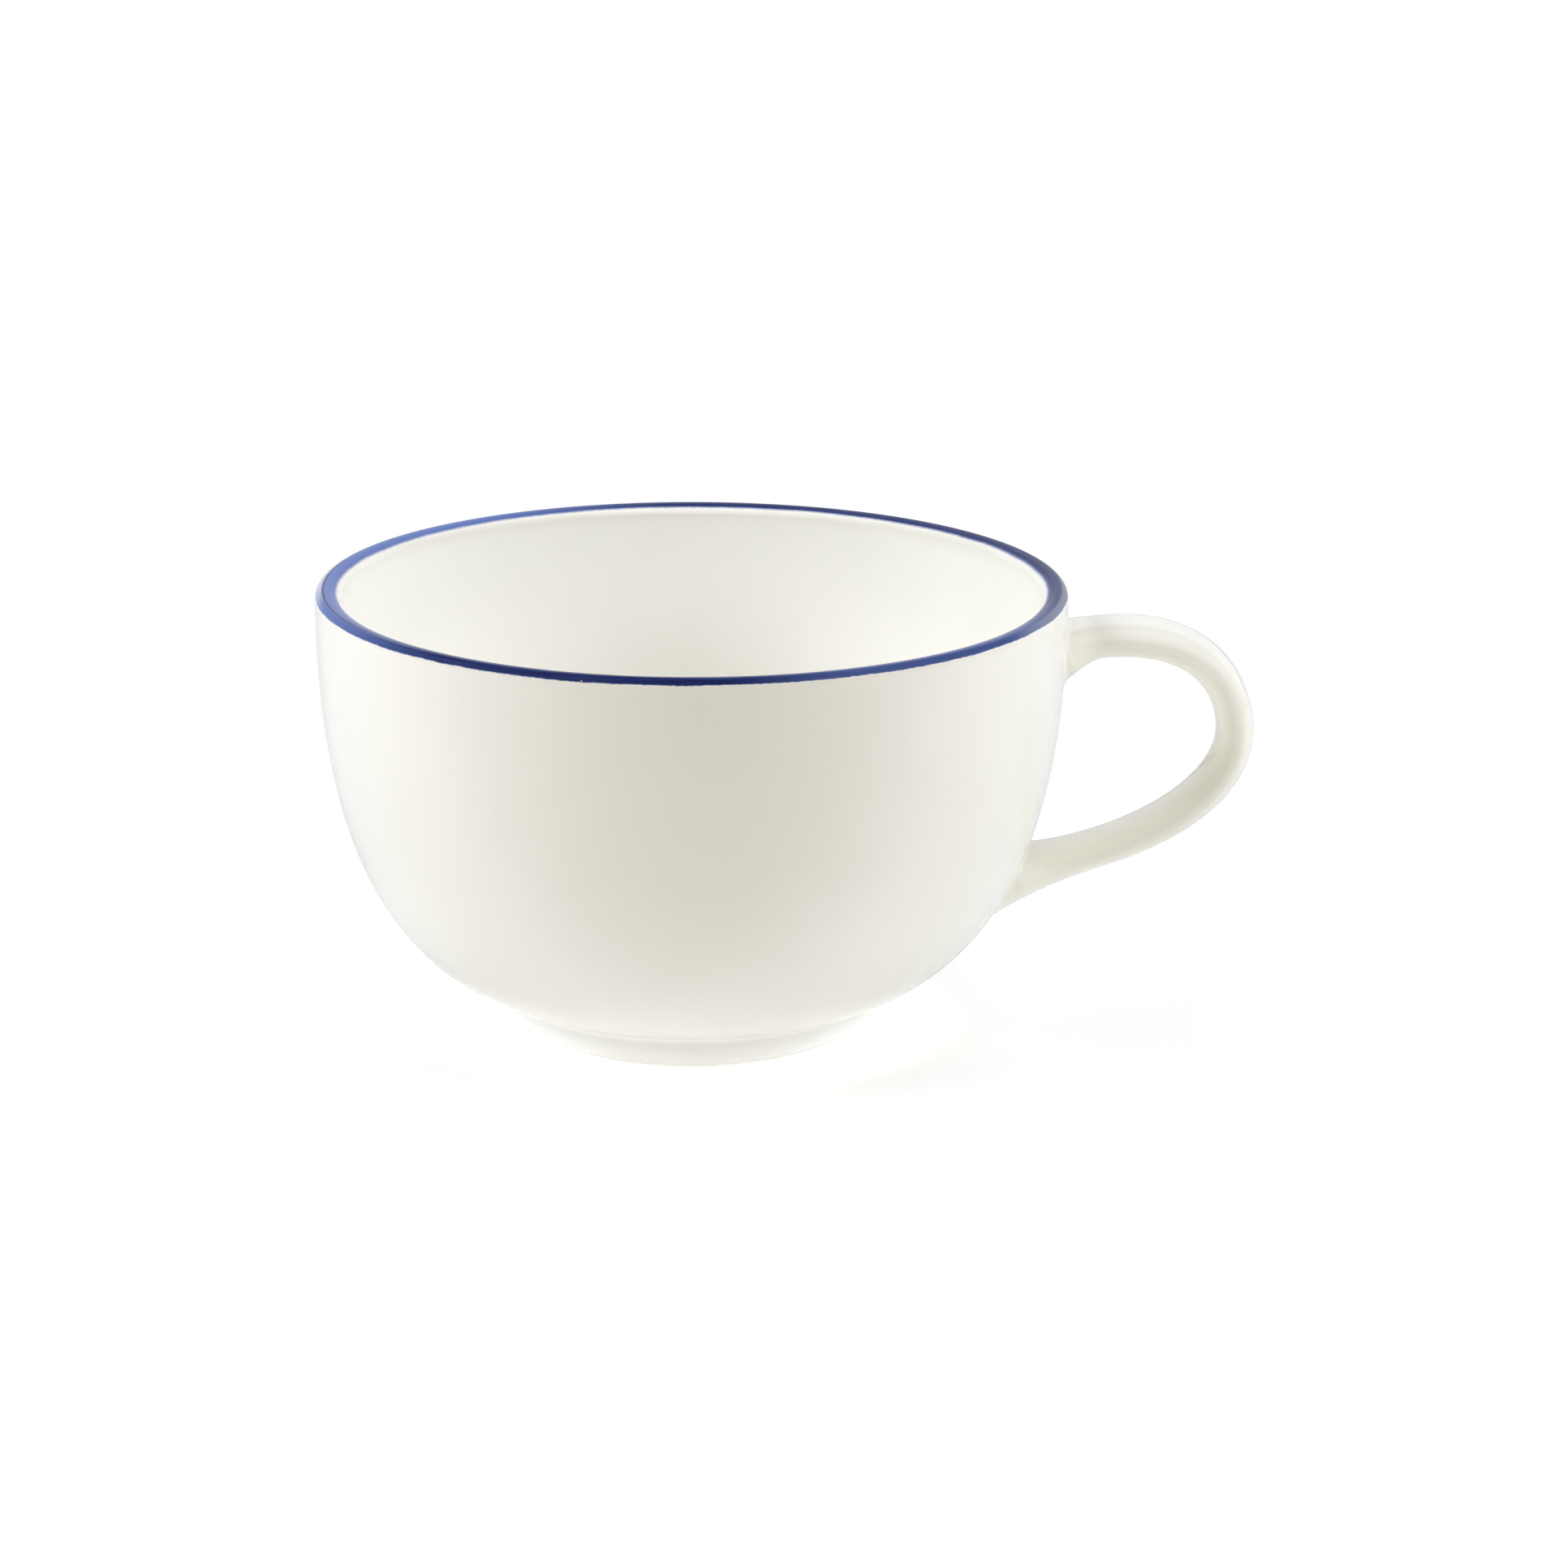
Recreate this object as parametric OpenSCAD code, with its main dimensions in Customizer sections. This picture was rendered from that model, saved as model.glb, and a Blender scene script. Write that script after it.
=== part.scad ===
// Coffee cup: a round-bellied bowl on a rolled foot ring, with a one-finger loop handle
// stuck on with slip and a coloured line fired over the lip.
// Millimetres, +Z up. The origin is where the cup's axis meets the surface it stands on,
// and the handle points along +X.

/* [Bowl] */
// Outer diameter at the rim
rim_d = 95; // [85:0.5:110]
// Height from the table to the top of the lip
cup_h = 57; // [52:0.5:70]
// Thickness of the wall below the lip
wall_t = 3.2; // [2.6:0.1:4]
// Thickness of the floor
floor_t = 4.8; // [4:0.1:6]
// Length over which the wall keeps on straight down from the lip
wall_pull = 18.3; // [14:0.1:22]
// Length over which the belly keeps on straight out from the foot
belly_pull = 23.4; // [18:0.1:25]
// Slope of the belly where it comes out of the foot, in degrees
belly_slope = 13.2; // [9:0.1:18]
// How far inside the foot's edge the belly begins
belly_inset = 3.1; // [1.5:0.1:4]
// Rise of that point above the hollow underside
belly_rise = 0.9; // [0.6:0.1:2]

/* [Lip] */
// Height of the rounded part of the lip
lip_rise = 1.3; // [1:0.1:2.4]
// Width of the lip's outer rounding
lip_out_w = 1; // [0.8:0.05:1.6]

/* [Lip line] */
// How far the coloured line comes down outside the lip
line_drop_out = 0.7; // [0.5:0.05:0.9]
// How far it comes down inside the lip
line_drop_in = 0.45; // [0.4:0.05:0.8]
// Thickness of the fired colour
line_t = 0.3; // [0.2:0.05:0.35]

/* [Foot] */
// Widest diameter of the foot ring
foot_d = 50.8; // [44:0.2:58]
// Radius of the foot's rolled outside
foot_round = 6.1; // [5:0.1:7]
// Depth to which the roll is ground flat
foot_ground = 0.2; // [0.1:0.05:0.4]
// Width of the flat ring that it stands on
bearing_w = 2.8; // [2:0.1:4]
// Radius of the foot's inner edge
foot_in_round = 1.2; // [0.6:0.1:1.8]
// Height of the hollow underside above the table
recess_h = 3; // [2.4:0.1:4]

/* [Handle] */
// How far the handle stands out past the rim
handle_reach = 23.9; // [20:0.1:30]
// Drop of the upper root's middle below the lip
upper_root_drop = 7.3; // [6:0.1:10]
// Height of the lower root's middle above the table
lower_root_h = 20.5; // [18:0.1:24]
// Drop of the outermost point below the upper root
bow_drop = 11.4; // [9:0.1:16]
// Thickness of the strap, seen from the side
grip_t = 4.7; // [4:0.1:6]
// Width of the strap, seen from the end
grip_w = 10.5; // [8:0.1:13]
// Thickness of the strap's lower arm before it spreads
tail_t = 3.6; // [3:0.1:5]
// Rise of the upper arm where it leaves the wall, in degrees
upper_angle = 12; // [4:0.5:18]
// Rise of the lower arm where it leaves the wall, in degrees
lower_angle = 5.5; // [0:0.5:15]
// Length over which the upper arm keeps its direction
upper_pull = 17.5; // [12:0.1:19]
// Length over which the lower arm keeps its direction
lower_pull = 14; // [10:0.1:17]
// Length over which the bow keeps on straight up
bow_up_pull = 6; // [4:0.1:9]
// Length over which the bow keeps on straight down
bow_down_pull = 9; // [6:0.1:11]
// Roundness of the strap's section: 2 is an ellipse, more is squarer
section_power = 2.3; // [2:0.1:3]

/* [Handle roots] */
// Thickness of the luting slip between handle and wall
slip_t = 0.8; // [0.5:0.1:1.5]
// How far the strap thickens under the upper root
upper_web = 1.6; // [0.8:0.1:2.4]
// Distance from the wall over which it does
upper_web_len = 4; // [3:0.1:6]
// How far the strap thickens under the lower root
lower_web = 2.6; // [1.4:0.1:3.4]
// Distance from the wall over which it does
lower_web_len = 11; // [8:0.1:14]
// How far each side of the strap spreads at a root
root_spread = 1.5; // [0.5:0.1:2.5]
// Distance from the wall over which it does
root_spread_len = 5; // [3:0.1:8]

/* [Hidden] */

$fn = 180;
wall_steps = 24;    // straight pieces that stand for the wall's curve
base_steps = 8;     // straight pieces of the floor's and the underside's curve
lip_steps = 6;      // straight pieces of each part of the lip
roll_steps = 10;    // straight pieces of a rounding on the foot
arm_steps = 14;     // rings along each arm of the handle
root_steps = 3;     // rings of each root that run on inside the wall
strap_sides = 28;   // points round the strap
root_depth = 7;     // how far the strap runs on inside the wall before it is cut
web_limit = 2.2;    // where the webs stop growing inside the wall
upper_web_power = 1.3;
lower_web_power = 2;

white_glaze = [0.93, 0.92, 0.87];
bare_clay = [0.86, 0.83, 0.76];
blue_line = [0.18, 0.21, 0.42];

// Curves through a list of control points
function cubic(p, t) = pow(1 - t, 3) * p[0] + 3 * pow(1 - t, 2) * t * p[1]
    + 3 * (1 - t) * t * t * p[2] + t * t * t * p[3];
function cubic_slope(p, t) = pow(1 - t, 2) * (p[1] - p[0])
    + 2 * (1 - t) * t * (p[2] - p[1]) + t * t * (p[3] - p[2]);
function quadratic(p, t) = pow(1 - t, 2) * p[0] + 2 * (1 - t) * t * p[1] + t * t * p[2];
function along(angle) = [cos(angle), sin(angle)];
function unit(v) = v / norm(v);
function left_of(v) = [-v[1], v[0]];

// Outside of the bowl, from the lip down to where the belly goes under the foot ring
rim_r = rim_d / 2;
lip_z = cup_h - lip_rise;
belly_start = [foot_d / 2 - belly_inset, recess_h + belly_rise];
wall_curve = [
    [rim_r, lip_z],
    [rim_r, lip_z - wall_pull],
    belly_start + belly_pull * along(belly_slope),
    belly_start
];
// A point of the wall, moved out by grow along the wall's own normal
function wall_at(t, grow = 0) =
    cubic(wall_curve, t) + grow * left_of(unit(cubic_slope(wall_curve, t)));
function wall_points(grow = 0) = [for (i = [0 : wall_steps]) wall_at(i / wall_steps, grow)];
wall_table = [for (p = wall_points()) [p[1], p[0]]];
function wall_r(z) = lookup(z, wall_table);

// Floor and underside run level into the axis from the end of the wall's curve
function level_run(from, z) = [
    for (i = [1 : base_steps])
        quadratic([from, [from[0] - (from[1] - z) / tan(belly_slope), z], [0, z]], i / base_steps)
];
underside = level_run(belly_start, recess_h);

// Inside of the bowl: the outside moved in, by the wall's thickness above and the floor's below
function inside_at(t) = wall_at(t, -(wall_t + (floor_t - wall_t) * t));
inside_wall = [for (i = [0 : wall_steps]) inside_at(i / wall_steps)];
floor_run = level_run(inside_at(1), recess_h + floor_t);

// The lip is a quarter ellipse outside and one inside; angle 0 is outside, 180 inside
lip_r = rim_r - lip_out_w;
lip_in_w = wall_t - lip_out_w;
function lip_at(angle, inset = 0) = [
    lip_r + ((angle < 90 ? lip_out_w : lip_in_w) - inset) * cos(angle),
    lip_z + (lip_rise - inset) * sin(angle)
];
function lip_arc(from, to, inset = 0) =
    [for (i = [0 : lip_steps]) lip_at(from + (to - from) * i / lip_steps, inset)];
line_from = asin(1 - line_drop_out / lip_rise);
line_to = 180 - asin(1 - line_drop_in / lip_rise);

function reversed(list) = [for (i = [len(list) - 1 : -1 : 0]) list[i]];
function tail_of(list) = [for (i = [1 : len(list) - 1]) list[i]];

// The bowl's lip is cut back by the thickness of the coloured line where the line lies
bowl_outline = concat(
    lip_arc(0, line_from),
    lip_arc(line_from, 90, line_t),
    tail_of(lip_arc(90, line_to, line_t)),
    lip_arc(line_to, 180),
    tail_of(inside_wall),
    floor_run,
    reversed(underside),
    reversed(tail_of(wall_points()))
);
line_outline = concat(
    lip_arc(line_from, 90),
    tail_of(lip_arc(90, line_to)),
    reversed(lip_arc(90, line_to, line_t)),
    tail_of(reversed(lip_arc(line_from, 90, line_t)))
);

// Foot ring: a rolled outside, a flat bearing and a rounded inner edge
foot_roll_mid = [foot_d / 2 - foot_round, foot_round - foot_ground];
foot_roll_from = -asin(foot_roll_mid[1] / foot_round);
bearing_out_r = foot_roll_mid[0] + foot_round * cos(foot_roll_from);
bearing_in_r = bearing_out_r - bearing_w;
foot_in_r = bearing_in_r - foot_in_round;
foot_outline = concat(
    [for (i = [0 : roll_steps]) foot_roll_mid + foot_round * along(foot_roll_from * (1 - i / roll_steps))],
    [[foot_in_r, foot_roll_mid[1]]],
    [for (i = [0 : roll_steps])
        [bearing_in_r, foot_in_round] + foot_in_round * along(180 + 90 * i / roll_steps)]
);

// The handle's middle line: two curves that meet at the bow, run on into the wall at each root
upper_root_h = cup_h - upper_root_drop;
upper_root = [wall_r(upper_root_h), upper_root_h];
lower_root = [wall_r(lower_root_h), lower_root_h];
bow = [rim_r + handle_reach - grip_t / 2, upper_root_h - bow_drop];
upper_arm = [upper_root, upper_root + upper_pull * along(upper_angle), bow + [0, bow_up_pull], bow];
lower_arm = [bow, bow - [0, bow_down_pull], lower_root + lower_pull * along(lower_angle), lower_root];
function run_in(root, angle, i) = root - root_depth * i / root_steps * along(angle);
spine = concat(
    [for (i = [root_steps : -1 : 1]) run_in(upper_root, upper_angle, i)],
    [for (i = [0 : arm_steps - 1]) cubic(upper_arm, i / arm_steps)],
    [for (i = [0 : arm_steps]) cubic(lower_arm, i / arm_steps)],
    [for (i = [1 : root_steps]) run_in(lower_root, lower_angle, i)]
);
last_ring = len(spine) - 1;
bow_ring = root_steps + arm_steps;

// Clear distance of a ring from the wall, and how far a web or spread has grown there
function clear(i) = spine[i][0] - wall_r(spine[i][1]);
function grown(i, reach, limit, power) = pow(min(max(1 - clear(i) / reach, 0), limit), power);
function lower_share(i) = min(max((i - bow_ring) / arm_steps, 0), 1);
function strap_half(i) = (grip_t + (tail_t - grip_t) * lower_share(i)) / 2;
function outer_half(i) =
    strap_half(i) + (i > bow_ring ? lower_web * grown(i, lower_web_len, web_limit, lower_web_power) : 0);
function inner_half(i) =
    strap_half(i) + (i < bow_ring ? upper_web * grown(i, upper_web_len, web_limit, upper_web_power) : 0);
function side_half(i) = grip_w / 2 + root_spread * grown(i, root_spread_len, 1, 2);

// One ring of the strap: a rounded oval, square to the middle line
function rounded(v) = sign(v) * pow(abs(v), 2 / section_power);
function outward(i) = left_of(unit(spine[min(i + 1, last_ring)] - spine[max(i - 1, 0)]));
function ring(i) = [
    for (k = [0 : strap_sides - 1])
        let (
            c = rounded(cos(360 * k / strap_sides)),
            s = rounded(sin(360 * k / strap_sides)),
            p = spine[i] + outward(i) * c * (c > 0 ? outer_half(i) : inner_half(i))
        )
        [p[0], side_half(i) * s, p[1]]
];

// The strap from one ring to another, closed at both ends
module strap(first, last) {
    n = strap_sides;
    rows = last - first;
    sides = [
        for (r = [0 : rows - 1], k = [0 : n - 1])
            let (a = r * n + k, b = r * n + (k + 1) % n)
            each [[a, b, a + n], [b, b + n, a + n]]
    ];
    first_end = [for (k = [n - 1 : -1 : 0]) k];
    last_end = [for (k = [0 : n - 1]) rows * n + k];
    polyhedron([for (i = [first : last]) each ring(i)], concat(sides, [first_end, last_end]));
}

// A turned solid, with its seam at the back, away from the handle
module turned(outline) {
    rotate([0, 0, 180]) rotate_extrude() polygon(outline);
}

// Everything inside the bowl's outer wall, grown by the thickness of the slip or by nothing
module bowl_mass(grow = 0) {
    points = wall_points(grow);
    turned(concat([[0, points[0][1]]], points, [[0, points[wall_steps][1]]]));
}

module slip_layer() {
    difference() {
        intersection() {
            children();
            bowl_mass(slip_t);
        }
        bowl_mass();
    }
}

module bowl() {
    color(white_glaze) turned(bowl_outline);
}

module foot_ring() {
    color(bare_clay)
        rotate([0, 0, 180]) rotate_extrude() difference() {
            polygon(foot_outline);
            polygon(concat([[0, lip_z]], wall_points(), underside));
        }
}

module handle() {
    color(white_glaze) difference() {
        strap(0, last_ring);
        bowl_mass(slip_t);
    }
}

module upper_slip_joint() {
    color(white_glaze) slip_layer() strap(0, bow_ring);
}

module lower_slip_joint() {
    color(white_glaze) slip_layer() strap(bow_ring, last_ring);
}

module rim_band() {
    color(blue_line) turned(line_outline);
}

bowl();
foot_ring();
handle();
upper_slip_joint();
lower_slip_joint();
rim_band();
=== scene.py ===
"""Coffee cup: a glazed bowl on a rolled foot ring, a one-finger loop handle and a blue line over the lip.

Metres, +Z up. The origin is where the cup's axis meets the surface that it stands on.
The handle points along +X.
"""
import math

import bpy
import numpy as np
from bpy.props import FloatProperty, FloatVectorProperty, PointerProperty
from bpy.types import Operator, Panel, PropertyGroup
from mathutils import Matrix, Vector


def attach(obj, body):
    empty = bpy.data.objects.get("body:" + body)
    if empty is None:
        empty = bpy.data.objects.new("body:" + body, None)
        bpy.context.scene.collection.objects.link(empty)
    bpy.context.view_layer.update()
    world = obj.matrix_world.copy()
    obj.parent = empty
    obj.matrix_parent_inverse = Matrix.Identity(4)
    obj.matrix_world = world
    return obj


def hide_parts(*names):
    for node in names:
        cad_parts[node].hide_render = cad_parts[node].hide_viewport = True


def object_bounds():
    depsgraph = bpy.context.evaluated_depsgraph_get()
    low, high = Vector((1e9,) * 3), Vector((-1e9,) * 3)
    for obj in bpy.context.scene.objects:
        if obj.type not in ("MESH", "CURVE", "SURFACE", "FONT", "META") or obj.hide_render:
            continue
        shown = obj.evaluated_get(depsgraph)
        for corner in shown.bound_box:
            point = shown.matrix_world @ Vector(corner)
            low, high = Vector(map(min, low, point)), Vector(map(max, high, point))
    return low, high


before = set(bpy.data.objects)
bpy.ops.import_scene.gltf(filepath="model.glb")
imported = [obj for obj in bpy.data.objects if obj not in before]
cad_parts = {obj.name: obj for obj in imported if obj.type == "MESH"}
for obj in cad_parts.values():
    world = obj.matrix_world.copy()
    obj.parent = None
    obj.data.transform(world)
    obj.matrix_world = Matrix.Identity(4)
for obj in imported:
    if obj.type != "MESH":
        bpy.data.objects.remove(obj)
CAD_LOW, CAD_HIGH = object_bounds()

bl_info = {
    "name": "Coffee Cup",
    "version": (1, 0, 0),
    "blender": (4, 5, 0),
    "location": "3D View > Sidebar > Cup",
    "description": "Builds a glazed coffee cup with a loop handle and a blue lip line",
    "category": "Add Mesh",
}

BODY = "root"
PHOTO_SIDE = 1932.0
AIM = Vector((0.0, 0.0, 0.03))


def length(name, description, default):
    """A length property, in metres."""
    return FloatProperty(
        name=name, description=description, default=default, min=0.0, precision=5,
        subtype="DISTANCE", unit="LENGTH",
    )


def angle(name, description, degrees):
    """An angle property, its default given in degrees."""
    return FloatProperty(
        name=name, description=description, default=math.radians(degrees),
        subtype="ANGLE", unit="ROTATION",
    )


def share(name, description, default, low=0.0, high=1.0):
    """A plain number between two limits."""
    return FloatProperty(name=name, description=description, default=default, min=low, max=high, precision=3)


def watts(name, description, default):
    """Radiant power of a soft box."""
    return FloatProperty(
        name=name, description=description, default=default, min=0.0, max=100.0, precision=3,
        subtype="POWER", unit="POWER",
    )


def colour(name, description, default):
    """A scene-linear colour property."""
    return FloatVectorProperty(
        name=name, description=description, default=default, size=3, min=0.0, max=1.0,
        subtype="COLOR",
    )


class CupBowlSizes(PropertyGroup):
    """Sizes of the turned bowl and its lip."""

    rim_radius: length("Rim radius", "Outer radius at the rim", -CAD_LOW.x)
    height: length("Height", "Height from the table to the top of the lip", CAD_HIGH.z)
    wall: length("Wall", "Thickness of the wall below the lip", 0.0032)
    floor: length("Floor", "Thickness of the floor", 0.0048)
    wall_pull: length("Wall pull", "Length over which the wall keeps on straight down from the lip", 0.0183)
    belly_pull: length("Belly pull", "Length over which the belly runs straight out of the foot", 0.0234)
    belly_slope: angle("Belly slope", "Slope of the belly where it comes out of the foot", 13.2)
    belly_radius: length("Belly start", "Radius at which the belly begins under the foot ring", 0.0223)
    belly_rise: length("Belly rise", "Rise of that point above the hollow underside", 0.0009)
    recess: length("Recess", "Height of the hollow underside above the table", 0.003)
    lip_rise: length("Lip rise", "Height of the rounded part of the lip", 0.0013)
    lip_out: length("Lip outside", "Width of the lip's outer rounding", 0.001)


class CupLineSizes(PropertyGroup):
    """Sizes of the blue line over the lip."""

    drop_out: length("Outer drop", "How far the line comes down outside the lip", 0.0007)
    drop_in: length("Inner drop", "How far the line comes down inside the lip", 0.00045)
    thickness: length("Thickness", "Thickness of the fired colour", 0.0003)
    margin_out: length("Outer margin", "White margin below the line's outer edge", 0.00012)
    margin_in: length("Inner margin", "White margin below the line's inner edge", 0.00025)


class CupFootSizes(PropertyGroup):
    """Sizes of the rolled foot ring."""

    radius: length("Radius", "Widest radius of the foot ring's roll", 0.0254)
    roll: length("Roll", "Radius of the foot's rolled outside", 0.0061)
    ground: length("Ground", "Depth to which the roll is ground flat", 0.0002)
    bearing: length("Bearing", "Width of the flat ring that it stands on", 0.0028)
    inner_round: length("Inner rounding", "Radius of the foot's inner edge", 0.0012)
    outer_fillet: length("Outer fillet", "Radius of the glaze in the corner under the belly", 0.0018)
    inner_fillet: length("Inner fillet", "Radius of the glaze in the corner of the recess", 0.0008)
    bare_height: length("Bare height", "Height up to which the clay is wiped bare of glaze", 0.0001)


class CupHandleSizes(PropertyGroup):
    """Sizes of the loop handle and its stuck-on roots."""

    reach: length("Reach", "How far the handle stands out past the rim", CAD_HIGH.x + CAD_LOW.x)
    upper_drop: length("Upper drop", "Drop of the upper root's middle below the lip", 0.0073)
    lower_height: length("Lower height", "Height of the lower root's middle above the table", 0.0205)
    bow_drop: length("Bow drop", "Drop of the outermost point below the upper root", 0.0114)
    grip: length("Grip", "Thickness of the strap, seen from the side", 0.0047)
    width: length("Width", "Width of the strap, seen from the end", 0.0105)
    tail: length("Tail", "Thickness of the lower arm before it spreads", 0.0036)
    upper_angle: angle("Upper angle", "Rise of the upper arm where it leaves the wall", 12.0)
    lower_angle: angle("Lower angle", "Rise of the lower arm where it leaves the wall", 5.5)
    upper_pull: length("Upper pull", "Length over which the upper arm keeps its direction", 0.0175)
    lower_pull: length("Lower pull", "Length over which the lower arm keeps its direction", 0.014)
    bow_up: length("Bow up", "Length over which the bow keeps on straight up", 0.006)
    bow_down: length("Bow down", "Length over which the bow keeps on straight down", 0.009)
    section_power: share("Section power", "Section: 2 is an ellipse, more is squarer", 2.3, 2.0, 4.0)
    slip: length("Slip", "Thickness of the luting slip between handle and wall", 0.0008)
    upper_web: length("Upper web", "How far the strap thickens under the upper root", 0.0016)
    upper_web_reach: length("Upper web reach", "Distance from the wall over which it does", 0.004)
    lower_web: length("Lower web", "How far the strap thickens under the lower root", 0.0026)
    lower_web_reach: length("Lower web reach", "Distance from the wall over which it does", 0.011)
    spread: length("Root spread", "How far each side of the strap spreads at a root", 0.0015)
    spread_reach: length("Root spread reach", "Distance from the wall over which it does", 0.005)
    fillet: length("Root fillet", "Radius of the sponged slip round each root", 0.0007)


class CupFinish(PropertyGroup):
    """Colours of the clay, the glaze and the fired line, and how deep the glaze lies; the lip and ridge
    depths are also painted shade.
    """

    glaze: colour("Glaze", "Cream-white where the glaze is thin", (0.955, 0.945, 0.895))
    # This deeper cream also serves as painted shade, where the lip, ridge and belly values raise the depth.
    pooled_and_shaded: colour("Pooled glaze", "Deeper cream where the glaze has gathered", (0.855, 0.835, 0.745))
    outside: share("Outside depth", "Depth of the glaze on the bowl's outside, from thin to pooled", 0.5)
    # Glaze gathered under the line's inner edge, set deep as painted shade on the lip's inner rounding.
    lip: share("Lip depth", "Depth of the glaze that has gathered under the line's inner edge", 0.65)
    mouth: share("Mouth depth", "Depth of the glaze inside, just under the lip", 0.05)
    bottom: share("Bottom depth", "Depth of the glaze inside, on the floor", 0.45)
    strap: share("Strap depth", "Depth of the glaze on the handle's sides", 0.05)
    # Painted shade: deeper cream along the handle's back darkens the top of the upper arm and the outside of
    # the bow.
    ridge_shade: share("Ridge depth", "Depth of the glaze along the back of the handle", 1.0)
    corner: share("Corner depth", "How much deeper the glaze is in the corner round a root", 0.25)
    handle: colour("Handle glaze", "Warmer cream of the thin glaze on the handle", (0.975, 0.955, 0.85))
    clay: colour("Bare clay", "Unglazed clay of the ground bearing", (0.8, 0.765, 0.68))
    foot: colour("Foot glaze", "Paler cream of the thinner glaze on the foot ring", (0.965, 0.955, 0.91))
    line: colour("Lip line", "Blue of the line where the colour is thick", (0.013, 0.019, 0.09))
    # This paler blue also serves as painted reflection at the thin places round the lip.
    line_thin_and_reflection: colour("Thin lip line", "Blue of the line where the colour is thin", (0.125, 0.185, 0.45))


class CupStage(PropertyGroup):
    """The floor, the soft studio light and the camera."""

    floor: colour("Floor", "Pale floor", (0.93, 0.93, 0.925))
    bounce: colour("Bounce", "Warm white that the floor throws back on the camera's side", (0.9, 0.85, 0.71))
    glow: FloatVectorProperty(
        name="Table glow",
        description="Light of the back-lit table under the cup and close round it",
        default=(0.405, 0.152), size=2, min=0.0, max=10.0,
    )
    room: share("Room light", "Brightness of the white room", 0.0, 0.0, 10.0)
    left: watts("Left box", "Radiant power of the left soft box", 3.52)
    right: watts("Right box", "Radiant power of the right soft box", 2.9)
    right_back: watts("Right back box", "Radiant power of the low box behind on the right", 0.4)
    back: watts("Back box", "Radiant power of the white box behind the cup", 2.41)
    top: watts("Top box", "Radiant power of the soft box over the cup", 1.62)
    front: watts("Front box", "Radiant power of the soft box above the camera", 0.433)
    box_tint: colour("Box tint", "Cool tint of the soft boxes round the cup", (0.92, 0.94, 1.0))
    front_tint: colour("Front tint", "Warm tint of the light from the camera's side", (1.0, 0.87, 0.5))
    camera_focal: share("Focal length", "Focal length in pixels of the photograph", 6164.35, 100.0, 50000.0)
    camera_pitch: angle("Camera pitch", "How far the camera looks down", 16.0263)
    camera_roll: angle("Camera roll", "How far the camera is turned about its line of sight", 0.2651)


# Curves


def along(turn):
    """Unit vector at that angle from the level."""
    return np.array([math.cos(turn), math.sin(turn)])


def left_of(vectors):
    """Plane vectors turned a quarter to the left."""
    return np.stack([-vectors[..., 1], vectors[..., 0]], axis=-1)


def unit(vectors):
    """Vectors at length one."""
    return vectors / np.linalg.norm(vectors, axis=-1, keepdims=True)


def cubic(points, t):
    """Cubic Bezier curve of four control points at the parameters t."""
    t = np.asarray(t)[..., None]
    s = 1.0 - t
    return s**3 * points[0] + 3 * s * s * t * points[1] + 3 * s * t * t * points[2] + t**3 * points[3]


def cubic_slope(points, t):
    """A third of the Bezier curve's derivative at the parameters t."""
    t = np.asarray(t)[..., None]
    s = 1.0 - t
    first, second, third = np.diff(points, axis=0)
    return s * s * first + 2 * s * t * second + t * t * third


def quadratic(points, t):
    """Quadratic Bezier curve of three control points at the parameters t."""
    t = np.asarray(t)[..., None]
    s = 1.0 - t
    return s * s * points[0] + 2 * s * t * points[1] + t * t * points[2]


def arc(centre, radius, first, last, count):
    """Points of a circle between two angles."""
    turn = np.linspace(first, last, count)
    return np.asarray(centre) + radius * np.stack([np.cos(turn), np.sin(turn)], axis=-1)


def heading(vector):
    """Angle of a plane vector from the level."""
    return math.atan2(vector[1], vector[0])


def all_round(count):
    """Angles of a whole turn in equal steps."""
    return 2 * math.pi * np.arange(count) / count


def solve(function, low, high, rounds=44):
    """Halves the interval between the arrays low and high, where function goes from below to above zero."""
    low = np.array(low, float)
    high = np.array(high, float)
    for _ in range(rounds):
        middle = (low + high) / 2
        below = function(middle) < 0
        low = np.where(below, middle, low)
        high = np.where(below, high, middle)
    return (low + high) / 2


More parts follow.
